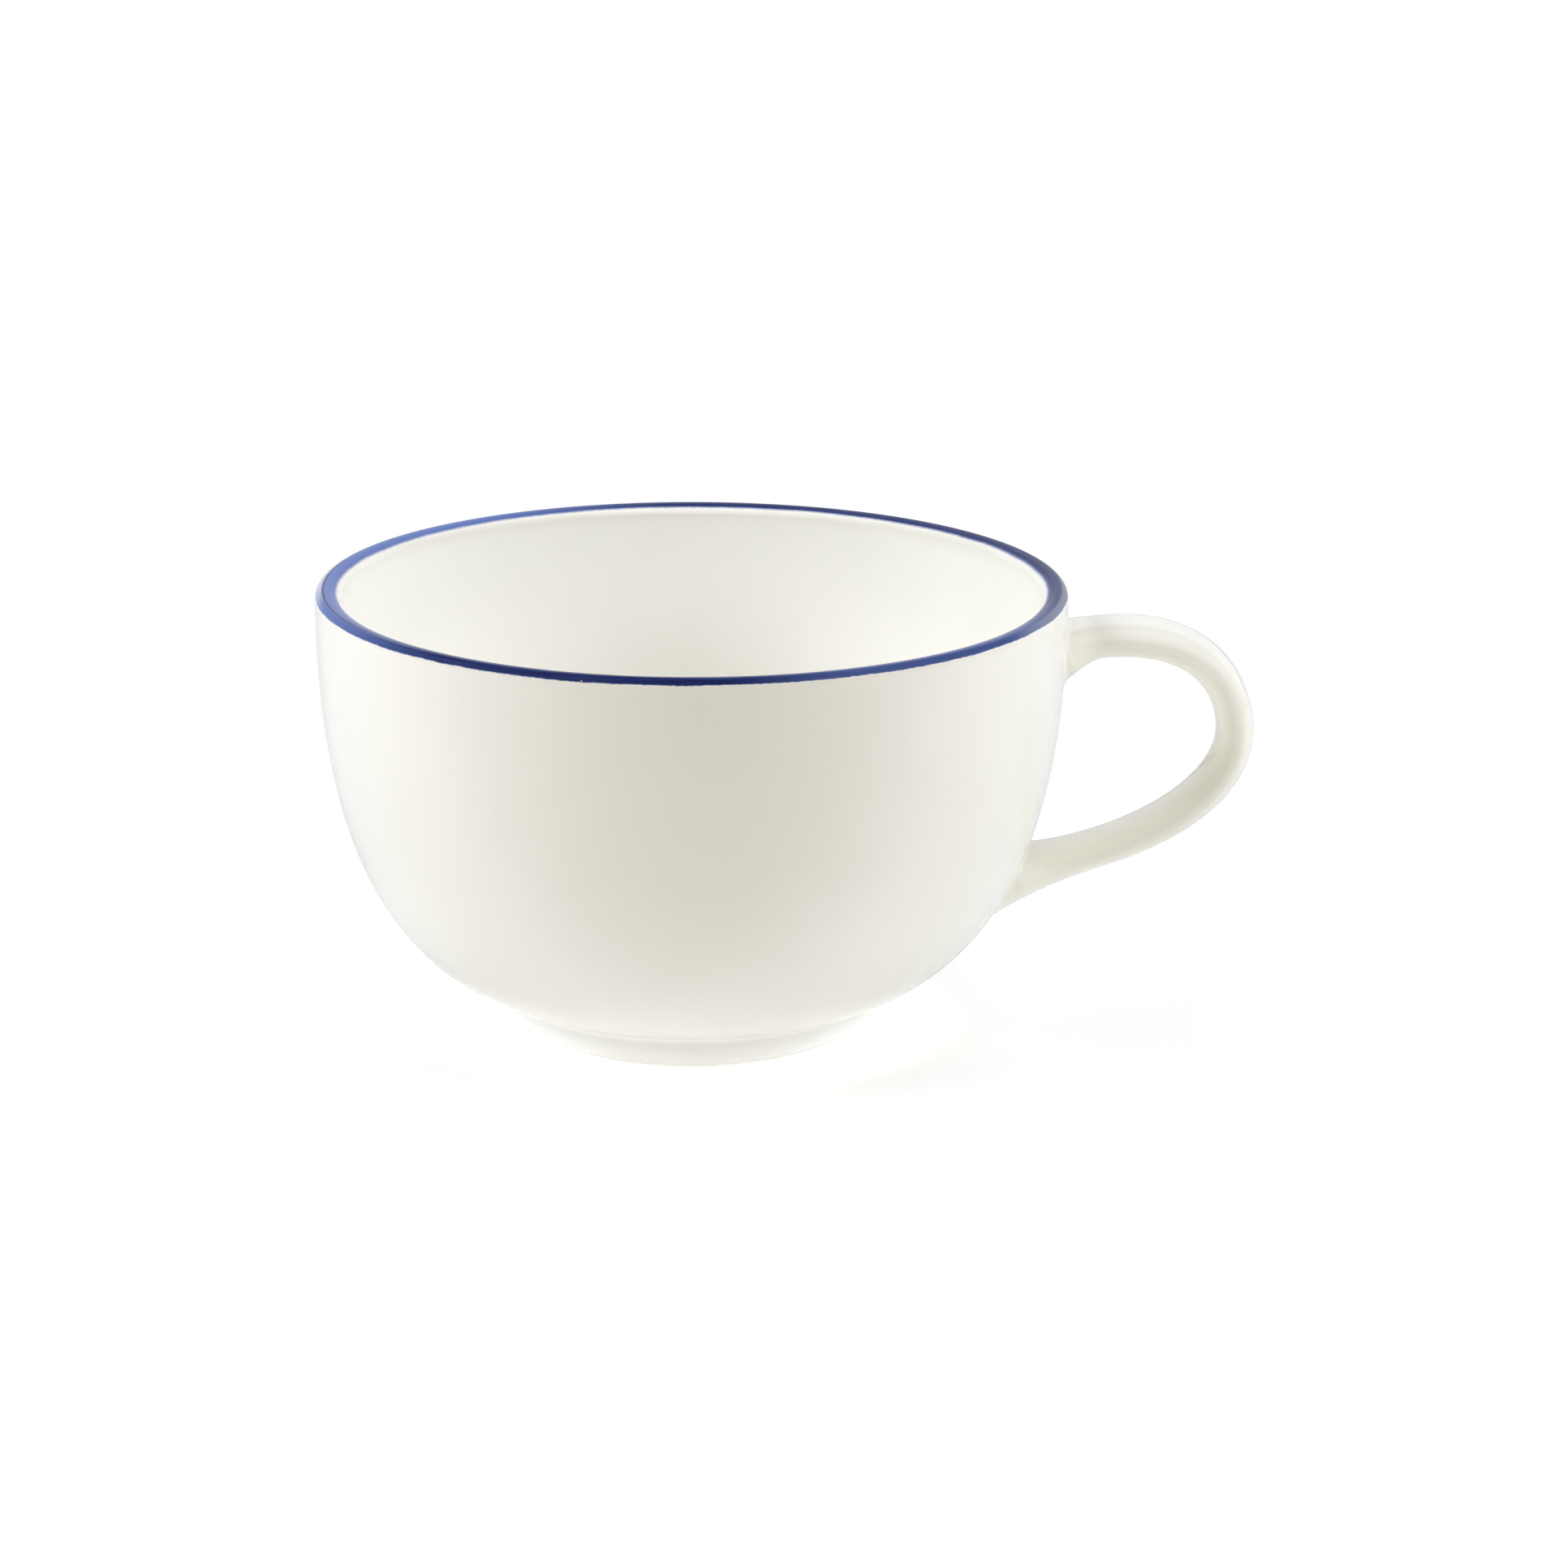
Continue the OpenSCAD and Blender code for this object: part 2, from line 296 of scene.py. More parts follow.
class Wall:
    """The bowl's outside as a curve of radius and height, from the lip down to under the foot ring."""

    table_steps = 4001

    def __init__(self, bowl):
        self.bowl = bowl
        self.lip_height = bowl.height - bowl.lip_rise
        start = np.array([bowl.belly_radius, bowl.recess + bowl.belly_rise])
        top = np.array([bowl.rim_radius, self.lip_height])
        self.control = np.array(
            [top, top - [0, bowl.wall_pull], start + bowl.belly_pull * along(bowl.belly_slope), start]
        )
        table = cubic(self.control, np.linspace(1.0, 0.0, self.table_steps))
        self.table_height = table[:, 1]
        self.table_radius = table[:, 0]

    def at(self, t, grow=0.0):
        """Point of the wall, moved out along its own normal by grow."""
        t = np.asarray(t, float)
        normal = left_of(unit(cubic_slope(self.control, t)))
        return cubic(self.control, t) + np.asarray(grow)[..., None] * normal

    def radius(self, height):
        """Outer radius at that height."""
        return np.interp(height, self.table_height, self.table_radius)

    def lean(self, height):
        """Growth of the radius per height."""
        step = 2e-5
        return (self.radius(height + step) - self.radius(height - step)) / (2 * step)

    def normal(self, points):
        """Outward unit normal of the wall nearest the points in space."""
        lean = self.lean(points[..., 2])
        flat = np.hypot(points[..., 0], points[..., 1])
        raw = np.stack([points[..., 0] / flat, points[..., 1] / flat, -lean], axis=-1)
        return unit(raw)

    def clearance(self, points):
        """Distance of points in space from the wall, below zero inside it."""
        flat = np.hypot(points[..., 0], points[..., 1])
        lean = self.lean(points[..., 2])
        return (flat - self.radius(points[..., 2])) / np.sqrt(1 + lean * lean)

    def level_run(self, start, height, t):
        """Curve that comes off the wall's lower end at the belly's slope and runs level into the axis."""
        turn = np.array([start[0] - (start[1] - height) / math.tan(self.bowl.belly_slope), height])
        return quadratic([np.asarray(start), turn, np.array([0.0, height])], t)

    def inside(self, t):
        """The wall moved in, by the wall's thickness above and by the floor's below."""
        bowl = self.bowl
        return self.at(t, -(bowl.wall + (bowl.floor - bowl.wall) * np.asarray(t)))

    def underside(self, t):
        """The bowl's hollow underside, from the wall's lower end to the axis."""
        return self.level_run(self.control[3], self.bowl.recess, t)

    def lip(self, turn, inset=0.0):
        """Lip: a quarter ellipse outside (angle 0) and a wider one inside (angle pi), moved in by inset."""
        bowl = self.bowl
        wide = np.where(turn < math.pi / 2, bowl.lip_out, bowl.wall - bowl.lip_out) - inset
        radius = bowl.rim_radius - bowl.lip_out + wide * np.cos(turn)
        return np.stack([radius, self.lip_height + (bowl.lip_rise - inset) * np.sin(turn)], axis=-1)

    def over_crest(self, inner, outer, count):
        """Angles from the inner one over the crest to the outer one, with points close beside the crest."""
        crest, beside = math.pi / 2, 1e-6
        inside = np.linspace(inner, crest + beside, count)
        return np.concatenate([inside, np.linspace(crest - beside, outer, count)])

    def line_ends(self, line, with_margin):
        """Angles on the lip at which the blue line, or its white margin, begins outside and ends inside."""
        out = line.drop_out + (line.margin_out if with_margin else 0.0)
        into = line.drop_in + (line.margin_in if with_margin else 0.0)
        rise = self.bowl.lip_rise
        return math.asin(1 - out / rise), math.pi - math.asin(1 - into / rise)


# Meshes


def ring_mesh(name, grid, ends=None, hard_rows=(), marks=None):
    """A skin over a grid of points, closed round its columns.

    With two end points the first and last row run to them as fans. Without them the rows close on themselves.
    A row in hard_rows is a sharp edge. Marks are values of each grid point, kept as attributes.
    """
    rows, columns = grid.shape[:2]
    index = np.arange(rows * columns).reshape(rows, columns)
    here = index if ends is None else index[:-1]
    below = np.roll(index, -1, axis=0) if ends is None else index[1:]
    beside = [np.roll(below, -1, axis=1), np.roll(here, -1, axis=1)]
    quads = np.stack([here, below, *beside], axis=-1).reshape(-1, 4)
    points = grid.reshape(-1, 3)
    corners = [quads.ravel()]
    totals = [np.full(len(quads), 4)]
    if ends is not None:
        first, last = index[0], index[-1]
        first_end = np.full(columns, rows * columns)
        last_end = first_end + 1
        corners.append(np.stack([first_end, first, np.roll(first, -1)], axis=-1).ravel())
        corners.append(np.stack([last, last_end, np.roll(last, -1)], axis=-1).ravel())
        totals.append(np.full(2 * columns, 3))
        points = np.concatenate([points, np.asarray(ends, float)])
    corners = np.concatenate(corners)
    totals = np.concatenate(totals)
    mesh = bpy.data.meshes.new(name)
    mesh.vertices.add(len(points))
    mesh.vertices.foreach_set("co", points.astype(np.float32).ravel())
    mesh.loops.add(len(corners))
    mesh.loops.foreach_set("vertex_index", corners.astype(np.int32))
    mesh.polygons.add(len(totals))
    mesh.polygons.foreach_set("loop_start", np.concatenate([[0], np.cumsum(totals)[:-1]]).astype(np.int32))
    mesh.update(calc_edges=True)
    mesh.shade_smooth()
    if len(hard_rows):
        pairs = np.zeros(len(mesh.edges) * 2, np.int32)
        mesh.edges.foreach_get("vertices", pairs)
        row_of = np.append(np.repeat(np.arange(rows), columns), [-1, -2])[pairs.reshape(-1, 2)]
        sharp = (row_of[:, 0] == row_of[:, 1]) & np.isin(row_of[:, 0], hard_rows)
        mesh.attributes.new("sharp_edge", "BOOLEAN", "EDGE").data.foreach_set("value", sharp)
    for mark, values in (marks or {}).items():
        spread = np.broadcast_to(values, (rows, columns))
        at_ends = [] if ends is None else [spread[0].mean(), spread[-1].mean()]
        flat = np.append(spread.ravel(), at_ends).astype(np.float32)
        mesh.attributes.new(mark, "FLOAT", "POINT").data.foreach_set("value", flat)
    if mesh.validate():
        raise RuntimeError(f"the mesh of {name} has faults")
    return mesh


def turned_grid(profile, columns):
    """Points of a profile of radius and height, turned about the axis, its seam away from the handle."""
    turn = math.pi + all_round(columns)
    radius = profile[:, :1]
    height = np.broadcast_to(profile[:, 1:], (len(profile), columns))
    return np.stack([radius * np.cos(turn), radius * np.sin(turn), height], axis=-1)


def place_piece(mesh, material, node):
    """Puts a finished mesh into the scene in place of a solid of the frame."""
    piece = bpy.data.objects.new(mesh.name, mesh)
    bpy.context.scene.collection.objects.link(piece)
    mesh.materials.append(material)
    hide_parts(node)
    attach(piece, BODY)


# Strap of the handle


class Strap:
    """The handle's strap: a rounded oval carried along two curves that meet at the bow.

    The parameter u runs from 0 at the upper root over 1 at the bow to 2 at the lower root, and straight on
    into the wall past both ends.
    """

    run_in = 0.007
    web_limit = 2.2
    upper_web_power = 1.3
    lower_web_power = 2.0
    search = (-0.9, 0.6)

    def __init__(self, wall, handle):
        self.wall = wall
        self.handle = handle
        bowl = wall.bowl
        upper_height = bowl.height - handle.upper_drop
        upper = np.array([wall.radius(upper_height), upper_height])
        lower = np.array([wall.radius(handle.lower_height), handle.lower_height])
        bow = np.array([bowl.rim_radius + handle.reach - handle.grip / 2, upper_height - handle.bow_drop])
        self.upper_way = along(handle.upper_angle)
        self.lower_way = along(handle.lower_angle)
        self.upper_arm = np.array(
            [upper, upper + handle.upper_pull * self.upper_way, bow + [0, handle.bow_up], bow]
        )
        self.lower_arm = np.array(
            [bow, bow - [0, handle.bow_down], lower + handle.lower_pull * self.lower_way, lower]
        )

    def spine(self, u):
        """Middle line in the plane of the handle, and its direction."""
        upper = np.clip(u, 0, 1)
        lower = np.clip(u - 1, 0, 1)
        on_upper = (u < 1)[..., None]
        middle = np.where(on_upper, cubic(self.upper_arm, upper), cubic(self.lower_arm, lower))
        way = np.where(on_upper, cubic_slope(self.upper_arm, upper), cubic_slope(self.lower_arm, lower))
        middle = middle + np.minimum(u, 0)[..., None] * self.run_in * self.upper_way
        middle = middle - np.maximum(u - 2, 0)[..., None] * self.run_in * self.lower_way
        return middle, unit(way)

    def surface(self, u, turn):
        """Point of the skin at u along the spine and at an angle round it, 0 on the loop's outside."""
        handle = self.handle
        middle, way = self.spine(u)
        clear = middle[..., 0] - self.wall.radius(middle[..., 1])

        def grown(reach, limit, power):
            return np.clip(1 - clear / reach, 0, limit) ** power

        half = (handle.grip + (handle.tail - handle.grip) * np.clip(u - 1, 0, 1)) / 2
        lower_web = handle.lower_web * grown(handle.lower_web_reach, self.web_limit, self.lower_web_power)
        upper_web = handle.upper_web * grown(handle.upper_web_reach, self.web_limit, self.upper_web_power)
        side = handle.width / 2 + handle.spread * grown(handle.spread_reach, 1, 2)
        power = 2 / handle.section_power
        across = np.sign(np.cos(turn)) * np.abs(np.cos(turn)) ** power
        beside = np.sign(np.sin(turn)) * np.abs(np.sin(turn)) ** power
        outer = half + np.where(u > 1, lower_web, 0)
        inner = half + np.where(u < 1, upper_web, 0)
        point = middle + left_of(way) * (across * np.where(across > 0, outer, inner))[..., None]
        return np.stack([point[..., 0], side * beside, point[..., 1]], axis=-1)

    def normal(self, u, turn):
        """Outward unit normal of the skin, from small steps along and round it."""
        step = 1e-4
        ahead = self.surface(u + step, turn) - self.surface(u - step, turn)
        round_it = self.surface(u, turn + step) - self.surface(u, turn - step)
        return unit(np.cross(ahead, round_it))

    def crossing(self, level, turn, upper):
        """Parameter u at which each line along the strap has the given clearance from the wall."""
        level, turn = np.broadcast_arrays(level, turn)

        def short_by(way):
            u = way if upper else 2 - way
            return self.wall.clearance(self.surface(u, turn)) - level

        way = solve(short_by, np.full(turn.shape, self.search[0]), np.full(turn.shape, self.search[1]))
        return way if upper else 2 - way

    def flared(self, u, turn):
        """Skin with a hollow fillet: nearer to the wall than its radius, a point moves out along the wall."""
        points = self.surface(u, turn)
        clear = self.wall.clearance(points)
        radius = self.handle.fillet
        gap = np.clip(radius - clear, 0, radius)
        move = radius - np.sqrt(radius * radius - gap * gap)
        wall_normal = self.wall.normal(points)
        normal = self.normal(u, turn)
        flat = normal - (normal * wall_normal).sum(-1, keepdims=True) * wall_normal
        return points + move[..., None] * unit(flat)


# Materials


class Net:
    """Short way to write a node tree: each input is a value or a socket to link from."""

    def __init__(self, tree):
        self.tree = tree

    def link(self, source, target):
        """Links an output socket to an input socket."""
        self.tree.links.new(source, target)

    def add(self, kind, inputs=None, **settings):
        """Adds a node, sets it and links or fills its inputs."""
        node = self.tree.nodes.new(kind)
        for key, value in settings.items():
            setattr(node, key, value)
        for key, value in (inputs or {}).items():
            if isinstance(value, bpy.types.NodeSocket):
                self.link(value, node.inputs[key])
            else:
                node.inputs[key].default_value = value
        return node

    def math(self, operation, first, second=0.0, clamp=False):
        """One arithmetic step."""
        inputs = {0: first, 1: second}
        return self.add("ShaderNodeMath", inputs, operation=operation, use_clamp=clamp).outputs[0]

    def plus(self, first, second, clamp=False):
        """Sum of two values."""
        return self.math("ADD", first, second, clamp)

    def minus(self, first, second):
        """Difference of two values."""
        return self.math("SUBTRACT", first, second)

    def times(self, first, second):
        """Product of two values."""
        return self.math("MULTIPLY", first, second)

    def larger(self, first, second):
        """The larger of two values."""
        return self.math("MAXIMUM", first, second)

    def centred(self, noise, width):
        """A noise between 0 and 1, moved to lie about zero and stretched to that width."""
        return self.times(self.minus(noise, 0.5), width)

    def ramp(self, value, low, high, out_low=0.0, out_high=1.0):
        """Smooth step of a value from low to high."""
        inputs = {"Value": value, 1: low, 2: high, 3: out_low, 4: out_high}
        return self.add("ShaderNodeMapRange", inputs, interpolation_type="SMOOTHSTEP").outputs[0]

    def mix(self, factor, first, second):
        """Blend of two colours."""
        tones = [c if isinstance(c, bpy.types.NodeSocket) else (*c, 1.0) for c in (first, second)]
        return self.add("ShaderNodeMix", {0: factor, 6: tones[0], 7: tones[1]}, data_type="RGBA").outputs[2]

    def noise(self, vector, scale, detail=2.0, roughness=0.5):
        """Soft noise between 0 and 1; the scale is in waves per metre."""
        inputs = {"Vector": vector, "Scale": scale, "Detail": detail, "Roughness": roughness}
        return self.add("ShaderNodeTexNoise", inputs).outputs[0]

    def attribute(self, name):
        """A value kept on the mesh."""
        return self.add("ShaderNodeAttribute", attribute_name=name).outputs["Fac"]

    def place(self):
        """Object coordinates, in metres."""
        return self.add("ShaderNodeTexCoord").outputs["Object"]

    def parts(self, vector):
        """The three parts of a vector."""
        return self.add("ShaderNodeSeparateXYZ", {0: vector}).outputs


def effect(name, inputs, outputs):
    """A new node group with named sockets; gives its net, its inputs and its output node."""
    tree = bpy.data.node_groups.new(name, "ShaderNodeTree")
    kinds = {"value": "NodeSocketFloat", "vector": "NodeSocketVector", "colour": "NodeSocketColor"}
    for way, sockets in (("INPUT", inputs), ("OUTPUT", outputs)):
        for socket, kind in sockets.items():
            tree.interface.new_socket(socket, in_out=way, socket_type=kinds[kind])
    net = Net(tree)
    return net, net.add("NodeGroupInput").outputs, net.add("NodeGroupOutput").inputs


def pinhole_effect():
    """Specks: in a share of the cells of a Voronoi pattern, a round spot about the cell's point.

    A spot reaches out to its own share of the given size, and is full in its core.
    """
    name = "glaze_pinholes"
    if name in bpy.data.node_groups:
        return bpy.data.node_groups[name]
    smallest, spread, core = 0.5, 0.7, 0.45
    inputs = {"Vector": "vector", "Density": "value", "Share": "value", "Size": "value"}
    net, given, out = effect(name, inputs, {"Mask": "value"})
    cells = net.add("ShaderNodeTexVoronoi", {"Vector": given["Vector"], "Scale": given["Density"]}).outputs
    pick = net.add("ShaderNodeSeparateColor", {"Color": cells["Color"]}).outputs
    chosen = net.math("LESS_THAN", pick[0], given["Share"])
    reach = net.times(given["Size"], net.plus(net.times(pick[1], spread), smallest))
    spot = net.ramp(cells["Distance"], net.times(reach, core), reach, 1.0, 0.0)
    net.link(net.times(chosen, spot), out["Mask"])
    return net.tree


def pinholes(net, place, density, chosen, size):
    """Places the specks: cells per metre, the share of cells that has one, and its size in cells."""
    inputs = {"Vector": place, "Density": density, "Share": chosen, "Size": size}
    return net.add("ShaderNodeGroup", inputs, node_tree=pinhole_effect()).outputs["Mask"]


def glaze_effect():
    """Glaze over clay: cloudy cream, deeper where the pool input is high, from pooled glaze and from painted
    shade, with faint waves, fine ripple and rare pins.
    """
    name = "clear_glaze"
    if name in bpy.data.node_groups:
        return bpy.data.node_groups[name]
    pin_colour = (0.36, 0.32, 0.25)
    pin_tint, pin_rough, pin_depth = 0.35, 0.2, 0.9
    rough_swing, ripple = 0.05, 0.12
    inputs = {
        "Vector": "vector", "Pool": "value", "Body": "colour",
        "Pooled": "colour", "Cloud": "value", "Gloss": "value",
    }
    net, given, out = effect(name, inputs, {"Color": "colour", "Roughness": "value", "Height": "value"})
    place = given["Vector"]
    cloud = net.noise(place, scale=55.0, detail=3.0)
    grain = net.noise(place, scale=420.0, detail=3.0, roughness=0.6)
    waves = net.noise(place, scale=130.0, detail=1.0)
    pins = pinholes(net, place, density=190.0, chosen=0.05, size=0.035)
    veil = net.times(net.ramp(cloud, low=0.35, high=0.7), given["Cloud"])
    deep = net.plus(veil, given["Pool"], clamp=True)
    tone = net.mix(deep, given["Body"], given["Pooled"])
    net.link(net.mix(net.times(pins, pin_tint), tone, pin_colour), out["Color"])
    rough = net.plus(given["Gloss"], net.centred(grain, rough_swing))
    net.link(net.plus(rough, net.times(pins, pin_rough), clamp=True), out["Roughness"])
    height = net.plus(waves, net.times(grain, ripple))
    net.link(net.minus(height, net.times(pins, pin_depth)), out["Height"])
    return net.tree


def glossy(material, index=1.5):
    """The material's net and shader, with that index of refraction."""
    material.use_nodes = True
    shader = material.node_tree.nodes["Principled BSDF"]
    shader.inputs["IOR"].default_value = index
    return Net(material.node_tree), shader


def finished(net, shader, tone, rough, height):
    """Links a colour, a roughness and a height, in shares of the glaze's relief, to the shader."""
    relief = 1.2e-5
    bump = net.add("ShaderNodeBump", {"Strength": 1.0, "Distance": relief, "Height": height})
    net.link(tone, shader.inputs["Base Color"])
    net.link(rough, shader.inputs["Roughness"])
    net.link(bump.outputs["Normal"], shader.inputs["Normal"])


def glaze_node(net, body, pooled_and_shaded, place, cloud, gloss):
    """Places the glaze effect in a material with that material's own values."""
    inputs = {
        "Vector": place, "Pool": net.attribute("pool"), "Body": (*body, 1.0), "Pooled": (*pooled_and_shaded, 1.0),
        "Cloud": cloud, "Gloss": gloss,
    }
    return net.add("ShaderNodeGroup", inputs, node_tree=glaze_effect()).outputs


def white_glaze(name, body, finish):
    """Glossy clear glaze over cream-white clay, deeper in the corners where it has run together and deeper
    cream where the mesh carries painted shade.
    """
    if name in bpy.data.materials:
        return bpy.data.materials[name]
    material = bpy.data.materials.new(name)
    net, shader = glossy(material)
    skin = glaze_node(net, body, finish.pooled_and_shaded, net.place(), cloud=0.12, gloss=0.1)
    finished(net, shader, skin["Color"], skin["Roughness"], skin["Height"])
    return material


def handle_glaze(finish):
    """The bowl's glaze over the handle's own casting, which is a little warmer."""
    return white_glaze("cream_handle_glaze", finish.handle, finish)


def foot_glaze(finish, foot):
    """The same glaze, which stops in an uneven edge above a bare, ground bearing of matt clay."""
    edge_swing, edge_soft = 0.0001, 0.2
    hollow_tone, matt, matt_swing = 0.86, 0.65, 0.2
    glaze_step, sand_relief = 3.0, 2.0
    material = bpy.data.materials.new("cream_foot_glaze")
    net, shader = glossy(material)
    place = net.place()
    skin = glaze_node(net, finish.foot, finish.pooled_and_shaded, place, cloud=0.1, gloss=0.12)
    uneven = net.centred(net.noise(place, scale=260.0, detail=3.0), edge_swing)
    edge = net.plus(net.parts(place)["Z"], uneven)
    bare_from, bare_to = foot.bare_height * (1 - edge_soft), foot.bare_height * (1 + edge_soft)
    bare = net.ramp(edge, bare_from, bare_to, 1.0, 0.0)
    sand = net.noise(place, scale=2600.0, detail=4.0, roughness=0.7)
    dark_clay = tuple(hollow_tone * c for c in finish.clay)
    clay = net.mix(net.ramp(sand, low=0.3, high=0.7), dark_clay, finish.clay)
    clay_rough = net.plus(net.times(sand, matt_swing), matt)
    rough = net.add("ShaderNodeMix", {0: bare, 2: skin["Roughness"], 3: clay_rough}).outputs[0]
    step = net.minus(skin["Height"], net.times(bare, glaze_step))
    height = net.plus(step, net.times(net.times(sand, bare), sand_relief))
    finished(net, shader, net.mix(bare, skin["Color"], clay), rough, height)
    return material


# Dark nicks on the crest: the angle round the lip in degrees, and the size in metres
NICKS = ((176.0, 0.00022), (189.2, 0.00032), (216.5, 0.00018))
# Painted reflection, as thinner and paler colour: the angle in degrees, where it starts and is full in rim
# radii, and the depth left
PALE_REFLECTION_PLACES = ((160.0, 0.34, 0.92, 0.08), (208.0, 0.9, 0.99, 0.7), (315.0, 0.75, 0.97, 0.6))
# Painted highlight outside the crest, as colour thinned towards white: the angle, where it starts and is
# full, and the share of the colour lost
HIGHLIGHT_PLACES = ((172.0, 0.91, 0.992, 0.55), (348.0, 0.91, 0.99, 0.18))


def blue_line(finish, bowl, line, reach):
    """Blue fired colour: thick in the middle, thin and streaky at its soft edges, with pinholes and nicks.

    The mesh attribute across runs in metres from the outer end of the piece to its inner end, at reach.
    The line reaches further in on the side away from +Y, and further down on the side away from the handle.
    At three places round the lip the colour is thinner and paler as painted reflection, and along the crest
    at the side away from the handle it is darker. Outside the crest, on the handle's side and on the side
    away from it, the colour is thinned towards white as a painted highlight.
    Its low index of refraction makes it mirror less than the glaze.
    """
    wander_width, rubbed_reach = 0.00022, 0.0003
    further_down, further_in = (-0.00005, 0.00006), (-0.0001, 0.00022)
    crest_reach, crest_depth = (0.00006, 0.00022), 0.8
    streaks_along, streaks_across = 70.0, 3800.0
    pale_share, nick_share, nick_tone, nick_core = 0.55, 0.8, 0.3, 0.4
    line_relief, hole_relief, streak_relief = 0.8, 1.5, 0.25
    material = bpy.data.materials.new("fired_blue_line")
    net, shader = glossy(material, index=1.15)
    place = net.place()
    across = net.attribute("across")
    skin = glaze_node(net, finish.glaze, finish.pooled_and_shaded, place, cloud=0.1, gloss=0.1)
    parts = net.parts(place)
    drawn = [net.times(parts[0], streaks_along), net.times(parts[1], streaks_along)]
    drawn.append(net.times(across, streaks_across))
    brushed = net.add("ShaderNodeCombineXYZ", dict(enumerate(drawn))).outputs[0]
    streaks = net.noise(brushed, scale=1.0, detail=3.0, roughness=0.6)
    ragged = net.centred(net.noise(place, scale=1500.0, detail=3.0, roughness=0.65), wander_width)
    swing = net.centred(net.noise(place, scale=160.0, detail=1.0), wander_width)
    wander = net.plus(ragged, swing)

    def towards(degrees):
        """How far a place on the lip lies that way from the axis, in rim radii."""
        way = along(math.radians(degrees)) / bowl.rim_radius
        return net.plus(net.times(parts[0], way[0]), net.times(parts[1], way[1]))

    moved_out = net.plus(wander, net.ramp(towards(180.0), -0.25, 0.0, *further_down))
    from_out = net.plus(across, moved_out)
    moved_in = net.plus(wander, net.ramp(towards(270.0), -1.0, 1.0, *further_in))
    from_in = net.plus(net.minus(reach, across), moved_in)
    painted_out = net.ramp(from_out, line["out_from"], line["out_to"])
    painted = net.times(painted_out, net.ramp(from_in, line["in_from"], line["in_to"]))
    # Painted highlight: outside the crest at both ends the colour is thinned towards the white glaze.
    rubbed = 0.0
    for degrees, low, high, lost in HIGHLIGHT_PLACES:
        rubbed = net.larger(rubbed, net.ramp(towards(degrees), low, high, 0.0, lost))
    outside = net.ramp(across, line["crest"] - rubbed_reach, line["crest"], 1.0, 0.0)
    painted = net.times(painted, net.minus(1.0, net.times(outside, rubbed)))
    thick_out = net.ramp(from_out, line["out_from"], line["out_thick"])
    depth = net.times(thick_out, net.ramp(from_in, line["in_from"], line["in_thick"]))
    depth = net.times(depth, net.ramp(streaks, 0.22, 0.62, 0.75, 1.0))
    # Painted reflection: thinner, paler colour at these places round the lip.
    for degrees, low, high, left in PALE_REFLECTION_PLACES:
        depth = net.times(depth, net.ramp(towards(degrees), low, high, 1.0, left))
    off_crest = net.math("ABSOLUTE", net.minus(across, line["crest"]))
    on_crest = net.ramp(off_crest, *crest_reach, crest_depth, 0.0)
    depth = net.larger(depth, net.times(on_crest, net.ramp(towards(200.0), 0.7, 0.95)))
    pale = pinholes(net, place, density=900.0, chosen=0.1, size=0.12)
    nicks = 0.0
    for degrees, size in NICKS:
        spot = (*(bowl.rim_radius - bowl.lip_out) * along(math.radians(degrees)), bowl.height)
        away = net.add("ShaderNodeVectorMath", {0: place, 1: spot}, operation="DISTANCE").outputs["Value"]
        nicks = net.larger(nicks, net.ramp(away, nick_core * size, size, 1.0, 0.0))
    ink = net.mix(depth, finish.line_thin_and_reflection, finish.line)
    ink = net.mix(net.times(pale, pale_share), ink, finish.glaze)
    ink = net.mix(net.times(nicks, nick_share), ink, tuple(nick_tone * c for c in finish.line))
    relief = net.plus(skin["Height"], net.times(painted, line_relief))
    relief = net.minus(relief, net.times(net.plus(nicks, pale), hole_relief))
    relief = net.plus(relief, net.times(streaks, streak_relief))
    finished(net, shader, net.mix(painted, skin["Color"], ink), skin["Roughness"], relief)
    return material


# Pieces


def cup_parts(context):
    """The sizes and finish kept in the scene, with the wall and strap worked out from them."""
    scene = context.scene
    wall = Wall(scene.cup_bowl)
    return scene, wall, Strap(wall, scene.cup_handle)


def foot_corner(wall, foot):
    """Centre of the foot's roll, centre of the fillet under the belly, and the belly's parameter there.

    The fillet's centre is the point of the belly, moved out by the fillet's radius, that lies as far from the
    roll's centre as the two radii together.
    """
    lower_belly = [0.7], [1.0]
    middle = np.array([foot.radius - foot.roll, foot.roll - foot.ground])
    reach = foot.roll + foot.outer_fillet

    def moved_out(t):
        return wall.at(t, np.full(np.shape(t), foot.outer_fillet))

    t = solve(lambda x: reach - np.linalg.norm(moved_out(x) - middle, axis=-1), *lower_belly)
    return middle, moved_out(t)[0], t[0]


def root_ring(strap, upper, sides):
    """The line round a root at which the strap's fillet meets the wall."""
    turn = all_round(sides)
    return strap.flared(strap.crossing(0.0, turn, upper), turn)


def strap_pool_and_shade(wall, finish, points, u, turn):
    """Depth of the glaze on the handle: deeper near the wall, and deeper cream along its back, fading below
    the bow, as painted shade on the strap's up-facing top.
    """
    shade_end, corner_reach = 1.9, 0.001
    # Painted shade: deeper cream along the back of the strap, full on the upper arm and fading out below the
    # bow.
    back = np.clip(np.cos(turn), 0, 1) * np.clip(shade_end - u, 0, 1)
    corner = np.exp(-np.clip(wall.clearance(points), 0, None) / corner_reach)
    depth = finish.strap + (finish.ridge_shade - finish.strap) * back + finish.corner * corner
    return np.clip(depth, 0, 1)


def strap_piece(node, u, turn, wall, strap, finish):
    """A length of the strap over a grid of u and angles, closed at both ends with a sharp edge."""
    grid = strap.flared(u, np.broadcast_to(turn, u.shape))
    pool = strap_pool_and_shade(wall, finish, grid, u, turn)
    ends = [grid[0].mean(axis=0), grid[-1].mean(axis=0)]
    mesh = ring_mesh("cup_" + node, grid, ends, [0, len(u) - 1], {"pool": pool})
    place_piece(mesh, handle_glaze(finish), node)


